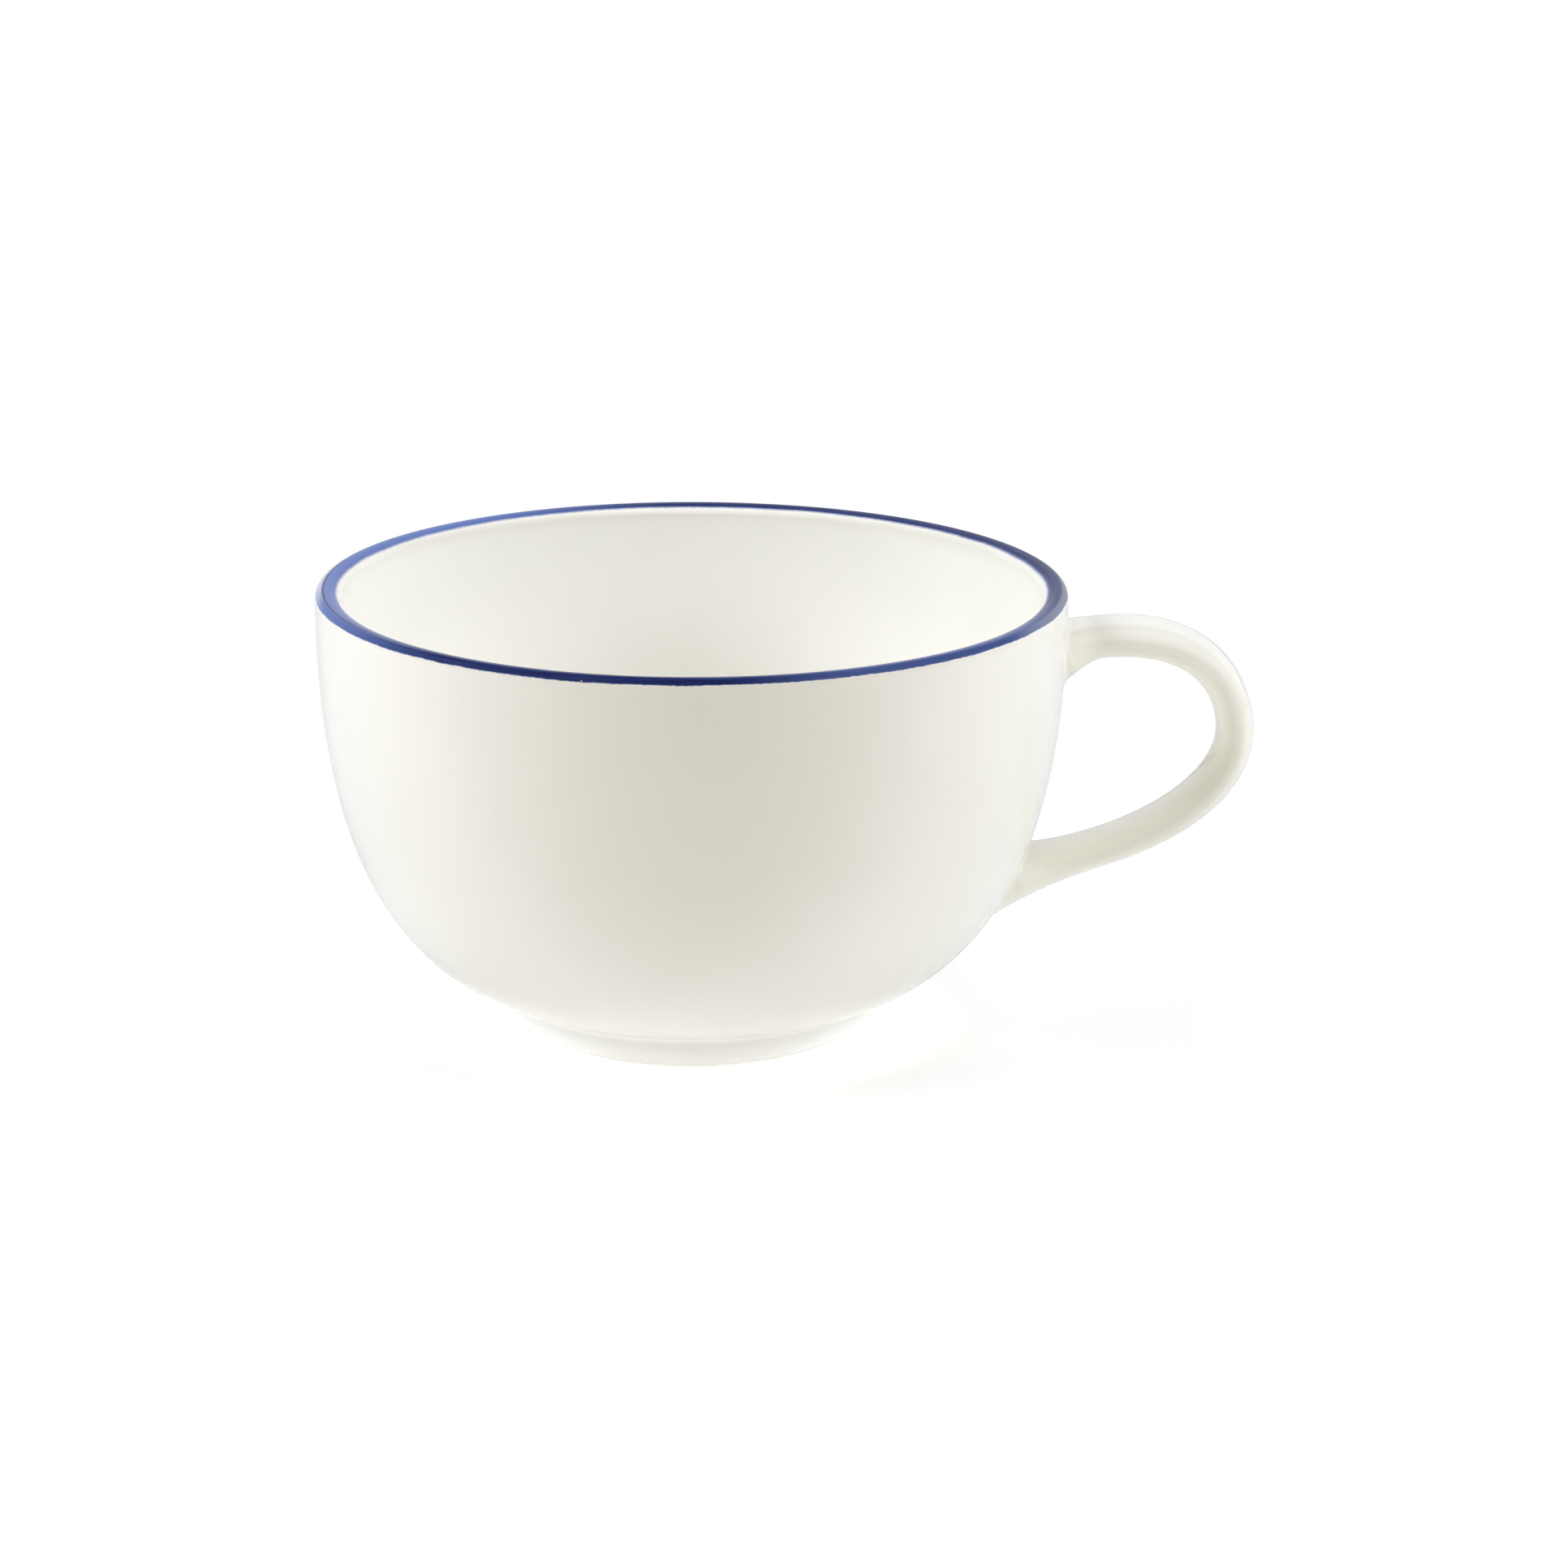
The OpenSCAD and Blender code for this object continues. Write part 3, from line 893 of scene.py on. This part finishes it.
class CUP_OT_bowl(Operator):
    """Turn the bowl: floor, wall and lip on one profile, with a bed for the blue line cut into the lip"""

    bl_idname = "coffee_cup.bowl"
    bl_label = "Bowl"

    columns = 288
    wall_steps = 97
    base_steps = 33
    edge_steps = 7
    bed_steps = 9
    root_columns = 96
    root_side = 0.6
    root_reach = 0.0011
    belly_pool_and_shade = 0.5
    belly_reach = 0.004
    lip_shade_reach = 0.0007
    turn_in = 0.93
    turn_in_depth = 0.15
    turn_in_reach = 0.009

    def inner_pool_and_shade(self, wall, finish, profile, floor_height):
        """Depth of the glaze inside: more with the depth and where the wall turns in, and under the lip,
        where glaze gathered under the line is set deep as painted shade on the lip's inner rounding.
        """
        height = wall.bowl.height
        sunk = (height - profile[:, 1]) / (height - floor_height)
        turn_in = np.linalg.norm(profile - wall.inside(self.turn_in), axis=-1)
        under_lip = np.clip(wall.lip_height - profile[:, 1], 0, None)
        pool = finish.mouth + (finish.bottom - finish.mouth) * sunk
        pool += self.turn_in_depth * np.exp(-((turn_in / self.turn_in_reach) ** 2))
        # Painted shade: deeper cream just under the lip, on its inner rounding.
        return pool + (finish.lip - finish.mouth) * np.exp(-under_lip / self.lip_shade_reach)

    def execute(self, context):
        scene, wall, strap = cup_parts(context)
        bowl, line, finish = scene.cup_bowl, scene.cup_line, scene.cup_finish
        start, end = wall.line_ends(line, True)
        steps = np.linspace(0, 1, self.wall_steps)
        base = np.linspace(0, 1, self.base_steps)
        floor_height = bowl.recess + bowl.floor
        sections = [
            wall.level_run(wall.inside(1.0), floor_height, base[:0:-1])[1:],
            wall.inside(steps[:0:-1]),
            wall.lip(np.linspace(math.pi, end, self.edge_steps)),
            wall.lip(wall.over_crest(end, start, self.bed_steps), line.thickness),
            wall.lip(np.linspace(start, 0, self.edge_steps)),
            wall.at(steps[1:]),
            wall.underside(base[1:-1]),
        ]
        profile = np.concatenate(sections)
        counts = np.cumsum([len(s) for s in sections])
        bed_start, bed_end = counts[2], counts[3]
        hard = [bed_start - 1, bed_start, bed_end - 1, bed_end]
        grid = turned_grid(profile, self.columns)
        *_, foot_t = foot_corner(wall, scene.cup_foot)
        foot_gap = np.linalg.norm(profile - wall.at(foot_t), axis=-1)
        outside = np.arange(len(profile)) >= bed_end
        # Deeper glaze pooled round the foot's corner, set deep as painted shade on the belly's lower edge.
        outer_pool_and_shade = finish.outside + self.belly_pool_and_shade * np.exp(-foot_gap / self.belly_reach)
        pool = np.where(outside, outer_pool_and_shade, self.inner_pool_and_shade(wall, finish, profile, floor_height))
        pool = np.array(np.broadcast_to(pool[:, None], grid.shape[:2]))
        roots = np.concatenate([root_ring(strap, upper, self.root_columns) for upper in (True, False)])
        near = np.where((grid[..., 0] > self.root_side * bowl.rim_radius) & outside[:, None])
        root_gap = np.linalg.norm(grid[near][:, None] - roots[None], axis=-1).min(axis=1)
        pool[near] += finish.corner * np.exp(-root_gap / self.root_reach)
        ends = [(0, 0, floor_height), (0, 0, bowl.recess)]
        mesh = ring_mesh("cup_bowl", grid, ends, hard, {"pool": np.clip(pool, 0, 1)})
        place_piece(mesh, white_glaze("cream_glaze", finish.glaze, finish), "bowl")
        return {"FINISHED"}


class CUP_OT_foot_ring(Operator):
    """Turn the foot ring: a rolled outside run into the belly, a flat bearing and a rounded inner edge"""

    bl_idname = "coffee_cup.foot_ring"
    bl_label = "Foot ring"

    columns = 288
    roll_steps = 49
    round_steps = 13
    flat_steps = 9
    under_steps = 400
    sunk = 0.0003
    recess_depth = 0.6
    recess_reach = 0.001

    def execute(self, context):
        scene, wall, _ = cup_parts(context)
        foot = scene.cup_foot
        middle, fillet, t = foot_corner(wall, foot)
        on_belly = wall.at(t)
        on_roll = middle + foot.roll * unit(fillet - middle)
        first = heading(on_belly - fillet)
        sweep = (heading(on_roll - fillet) - first) % (2 * math.pi)
        hollow = arc(fillet, foot.outer_fillet, first, first + sweep, self.round_steps)
        ground_at = -math.asin(middle[1] / foot.roll)
        roll = arc(middle, foot.roll, heading(on_roll - middle), ground_at, self.roll_steps)
        bearing_in = roll[-1, 0] - foot.bearing
        flat = np.linspace([roll[-1, 0], 0.0], [bearing_in, 0.0], self.flat_steps)
        edge = [bearing_in, foot.inner_round]
        inner = arc(edge, foot.inner_round, -math.pi / 2, -math.pi, self.round_steps)
        touch = bearing_in - foot.inner_round - foot.inner_fillet
        under = wall.underside(np.linspace(0, 1, self.under_steps))
        height = float(np.interp(touch, under[::-1, 0], under[::-1, 1]))
        corner = [touch, height - foot.inner_fillet]
        recess = arc(corner, foot.inner_fillet, 0, math.pi / 2, self.flat_steps)
        hidden = np.array([[touch, height + self.sunk], on_belly + [-self.sunk, self.sunk]])
        sections = [hollow, roll[1:], flat[1:], inner[1:], recess, hidden]
        profile = np.concatenate(sections)
        counts = np.cumsum([len(s) for s in sections])
        recess_gap = np.linalg.norm(profile - recess[len(recess) // 2], axis=-1)
        pool = np.clip(self.recess_depth * np.exp(-recess_gap / self.recess_reach), 0, 1)
        hard = [0, counts[1] - 1, counts[4] - 1, counts[4], counts[5] - 1]
        grid = turned_grid(profile, self.columns)
        mesh = ring_mesh("cup_foot_ring", grid, None, hard, {"pool": pool[:, None]})
        place_piece(mesh, foot_glaze(scene.cup_finish, foot), "foot_ring")
        return {"FINISHED"}


class CUP_OT_handle(Operator):
    """Sweep the handle's strap from the upper to the lower layer of slip"""

    bl_idname = "coffee_cup.handle"
    bl_label = "Handle"

    rows = 200
    sides = 96

    def execute(self, context):
        scene, wall, strap = cup_parts(context)
        turn = all_round(self.sides)
        slip = scene.cup_handle.slip
        start = strap.crossing(slip, turn, True)
        end = strap.crossing(slip, turn, False)
        u = start + (end - start) * np.linspace(0, 1, self.rows)[:, None]
        strap_piece("handle", u, turn, wall, strap, scene.cup_finish)
        return {"FINISHED"}


class CUP_OT_slip_joints(Operator):
    """Lay the two layers of slip between the handle's roots and the wall, each with a sponged fillet"""

    bl_idname = "coffee_cup.slip_joints"
    bl_label = "Slip joints"

    rows = 17
    sides = 96
    sunk = 0.00012

    def execute(self, context):
        scene, wall, strap = cup_parts(context)
        turn = all_round(self.sides)
        fall = np.sin(np.linspace(0, math.pi / 2, self.rows - 1))
        levels = np.append(scene.cup_handle.slip * (1 - fall), -self.sunk)
        for node, upper in (("upper_slip_joint", True), ("lower_slip_joint", False)):
            order = levels[::-1] if upper else levels
            u = strap.crossing(order[:, None], turn, upper)
            strap_piece(node, u, turn, wall, strap, scene.cup_finish)
        return {"FINISHED"}


class CUP_OT_lip_line(Operator):
    """Lay the blue line into its bed on the lip, with a white margin at both edges"""

    bl_idname = "coffee_cup.lip_line"
    bl_label = "Lip line"

    columns = 576
    steps = 21
    outer_edge = (-0.00008, 0.00008, 0.00018)
    inner_edge = (-0.00025, 0.00035, 0.0007)

    def places(self, edge_out, edge_in, crest):
        """Where, along the lip, the colour starts, covers and is thick, from its outer and its inner end."""
        out_from, out_to, out_thick = (edge_out + step for step in self.outer_edge)
        in_from, in_to, in_thick = (edge_in + step for step in self.inner_edge)
        return {
            "out_from": out_from, "out_to": out_to, "out_thick": out_thick, "crest": crest,
            "in_from": in_from, "in_to": in_to, "in_thick": in_thick,
        }

    def execute(self, context):
        scene, wall, _ = cup_parts(context)
        line, finish = scene.cup_line, scene.cup_finish
        start, end = wall.line_ends(line, True)
        paint_start, paint_end = wall.line_ends(line, False)
        turn = wall.over_crest(end, start, self.steps)
        top = wall.lip(turn)
        bed = wall.lip(turn[::-1], line.thickness)
        way = np.append(0, np.cumsum(np.linalg.norm(np.diff(top, axis=0), axis=-1)))
        reach = float(way[-1])
        across = reach - way
        edge_out = float(np.interp(-paint_start, -turn, across))
        edge_in = reach - float(np.interp(-paint_end, -turn, across))
        crest = float(across[self.steps])
        # Painted shade: inside the crest the piece takes the lip's deep glaze value.
        pool = np.where(across < crest, finish.outside, finish.lip)
        values = {"across": across, "pool": pool}
        marks = {name: np.append(over, over[::-1])[:, None] for name, over in values.items()}
        count = len(top)
        hard = [0, count - 1, count, 2 * count - 1]
        grid = turned_grid(np.concatenate([top, bed]), self.columns)
        mesh = ring_mesh("cup_lip_line", grid, None, hard, marks)
        places = self.places(edge_out, edge_in, crest)
        place_piece(mesh, blue_line(finish, scene.cup_bowl, places, reach), "rim_band")
        return {"FINISHED"}


# Stage


def soft_box(name, power, tint, size, at, mirrored):
    """A soft box of light that faces the cup; a mirrored one shows as an image in the glaze."""
    data = bpy.data.lights.new(name, "AREA")
    data.shape = "RECTANGLE"
    data.size, data.size_y = size
    data.energy = power
    data.color = tint
    box = bpy.data.objects.new(name, data)
    bpy.context.scene.collection.objects.link(box)
    box.location = at
    box.rotation_euler = (AIM - Vector(at)).to_track_quat("-Z", "Y").to_euler()
    box.visible_camera = False
    box.visible_glossy = mirrored


class CUP_OT_stage(Operator):
    """Set up the pale floor, the soft studio light and the camera"""

    bl_idname = "coffee_cup.stage"
    bl_label = "Stage"

    floor_side = 8.0
    floor_steps = 33
    floor_shade = 0.985
    floor_height = -1e-5
    glow_reach = (0.0, 0.026, 0.036, 0.052, 0.08)
    fade_reach = (0.026, 0.072)
    bounce_reach = (-0.15, -0.03)
    mirrored = 0.7
    camera_place = (0.011714, -0.614365, 0.207214)
    sensor = 36.0

    def floor(self, stage):
        """A pale, back-lit table top, slightly uneven in tone, that runs on into the white backdrop.

        From below it is clear, so that the cup's underside can be looked at.
        """
        edge = np.linspace(-self.floor_side / 2, self.floor_side / 2, self.floor_steps)
        x, y = np.meshgrid(edge, edge, indexing="ij")
        points = np.stack([x, y, np.full(x.shape, self.floor_height)], axis=-1).reshape(-1, 3)
        index = np.arange(x.size).reshape(x.shape)
        corners = [index[:-1, :-1], index[1:, :-1], index[1:, 1:], index[:-1, 1:]]
        quads = np.stack(corners, axis=-1).reshape(-1, 4)
        mesh = bpy.data.meshes.new("studio_floor")
        mesh.from_pydata(points.tolist(), [], quads.tolist())
        mesh.materials.append(self.floor_finish(stage))
        floor = bpy.data.objects.new("studio_floor", mesh)
        bpy.context.scene.collection.objects.link(floor)

    def floor_finish(self, stage):
        """Matt and pale, warm on the camera's side for the light it throws back, duller in the cup's gloss.

        It glows under the cup and close round it. For the camera it fades into white away from the cup.
        """
        material = bpy.data.materials.new("pale_floor")
        material.use_nodes = True
        net = Net(material.node_tree)
        shader = material.node_tree.nodes["Principled BSDF"]
        rays = net.add("ShaderNodeLightPath").outputs
        place = net.place()
        uneven = net.noise(place, scale=3.0, detail=2.0)
        shade = tuple(self.floor_shade * c for c in stage.floor)
        mirror = tuple(self.mirrored * c for c in stage.floor)
        warm = net.ramp(net.parts(place)["Y"], *self.bounce_reach, 1.0, 0.0)
        thrown = net.mix(warm, stage.floor, stage.bounce)
        base = net.mix(rays["Is Diffuse Ray"], net.mix(uneven, stage.floor, shade), thrown)
        net.link(net.mix(rays["Is Glossy Ray"], base, mirror), shader.inputs["Base Color"])
        shader.inputs["Roughness"].default_value = 0.6
        shader.inputs["Specular IOR Level"].default_value = 0.2
        radius = net.add("ShaderNodeVectorMath", {0: place}, operation="LENGTH").outputs["Value"]
        ramp = net.add("ShaderNodeValToRGB", {0: radius})
        ramp.color_ramp.interpolation = "EASE"
        stops = ramp.color_ramp.elements
        stops.remove(stops[1])
        for i, (reach, level) in enumerate(zip(self.glow_reach, (*np.repeat(stage.glow, 2), 0.0))):
            stop = stops[0] if i == 0 else stops.new(reach)
            stop.position = reach
            stop.color = (level, level, level, 1.0)
        net.link(ramp.outputs[0], shader.inputs["Emission Color"])
        shader.inputs["Emission Strength"].default_value = 1.0
        fade = net.times(rays["Is Camera Ray"], net.ramp(radius, *self.fade_reach))
        white = net.add("ShaderNodeEmission", {"Color": (1.0, 1.0, 1.0, 1.0), "Strength": 1.0}).outputs[0]
        sweep = net.add("ShaderNodeMixShader", {0: fade, 1: shader.outputs[0], 2: white}).outputs[0]
        below = net.add("ShaderNodeNewGeometry").outputs["Backfacing"]
        clear = net.add("ShaderNodeBsdfTransparent").outputs[0]
        top = net.add("ShaderNodeMixShader", {0: below, 1: sweep, 2: clear}).outputs[0]
        net.link(top, material.node_tree.nodes["Material Output"].inputs["Surface"])
        return material

    def room(self, stage):
        """A white backdrop all round for the camera, which lights the cup only as brightly as the room is."""
        world = bpy.data.worlds.new("white_room")
        bpy.context.scene.world = world
        world.use_nodes = True
        background = world.node_tree.nodes["Background"]
        background.inputs["Color"].default_value = (1.0, 1.0, 1.0, 1.0)
        net = Net(world.node_tree)
        seen = net.add("ShaderNodeLightPath").outputs["Is Camera Ray"]
        net.link(net.ramp(seen, 0.0, 1.0, stage.room, 1.0), background.inputs["Strength"])

    def lights(self, stage):
        """A soft box on each side of the cup, two behind it, one over it and one above the camera."""
        cool = stage.box_tint
        soft_box("left_box", stage.left, cool, (0.5, 0.32), (-0.535, -0.13, 0.385), False)
        soft_box("right_box", stage.right, cool, (0.5, 0.34), (0.54, -0.115, 0.375), False)
        soft_box("right_back_box", stage.right_back, cool, (0.5, 0.25), (0.5, 0.3, 0.19), False)
        soft_box("back_box", stage.back, cool, (1.8, 0.46), (0.0, 0.55, 0.235), True)
        soft_box("top_box", stage.top, cool, (0.5, 0.5), (0.0, 0.05, 0.65), False)
        soft_box("front_box", stage.front, stage.front_tint, (0.5, 0.3), (0.0, -0.62, 0.55), False)

    def camera(self, stage):
        """A level-standing camera that looks down at the cup, turned slightly about its line of sight."""
        data = bpy.data.cameras.new("photo_camera")
        data.sensor_width = self.sensor
        data.lens = stage.camera_focal * self.sensor / PHOTO_SIDE
        data.clip_start, data.clip_end = 0.01, 50.0
        camera = bpy.data.objects.new("photo_camera", data)
        bpy.context.scene.collection.objects.link(camera)
        tilt = Matrix.Rotation(math.pi / 2 - stage.camera_pitch, 4, "X")
        roll = Matrix.Rotation(stage.camera_roll, 4, "Z")
        camera.matrix_world = Matrix.Translation(self.camera_place) @ tilt @ roll
        bpy.context.scene.camera = camera

    def execute(self, context):
        stage = context.scene.cup_stage
        self.floor(stage)
        self.room(stage)
        self.lights(stage)
        self.camera(stage)
        context.scene.view_settings.view_transform = "Standard"
        return {"FINISHED"}


class CUP_PT_panel(Panel):
    """Lists the cup's pieces and its stage in the sidebar"""

    bl_label = "Coffee Cup"
    bl_idname = "CUP_PT_panel"
    bl_space_type = "VIEW_3D"
    bl_region_type = "UI"
    bl_category = "Cup"

    def draw(self, context):
        for operator in OPERATORS:
            self.layout.operator(operator.bl_idname)
        for name in SETTINGS:
            box = self.layout.box()
            group = getattr(context.scene, name)
            box.label(text=type(group).__doc__)
            for prop in type(group).__annotations__:
                box.prop(group, prop)


SETTINGS = {
    "cup_bowl": CupBowlSizes,
    "cup_line": CupLineSizes,
    "cup_foot": CupFootSizes,
    "cup_handle": CupHandleSizes,
    "cup_finish": CupFinish,
    "cup_stage": CupStage,
}
OPERATORS = (CUP_OT_bowl, CUP_OT_foot_ring, CUP_OT_handle, CUP_OT_slip_joints, CUP_OT_lip_line, CUP_OT_stage)


def register():
    """Registers the settings, the operators and the panel."""
    for name, group in SETTINGS.items():
        bpy.utils.register_class(group)
        setattr(bpy.types.Scene, name, PointerProperty(type=group))
    for kind in (*OPERATORS, CUP_PT_panel):
        bpy.utils.register_class(kind)


def unregister():
    """Takes back what register has done."""
    for kind in (CUP_PT_panel, *reversed(OPERATORS)):
        bpy.utils.unregister_class(kind)
    for name, group in reversed(SETTINGS.items()):
        delattr(bpy.types.Scene, name)
        bpy.utils.unregister_class(group)


def main():
    """Builds the cup and its stage."""
    register()
    bpy.ops.coffee_cup.bowl()
    bpy.ops.coffee_cup.foot_ring()
    bpy.ops.coffee_cup.handle()
    bpy.ops.coffee_cup.slip_joints()
    bpy.ops.coffee_cup.lip_line()
    bpy.ops.coffee_cup.stage()


if __name__ == "__main__":
    main()
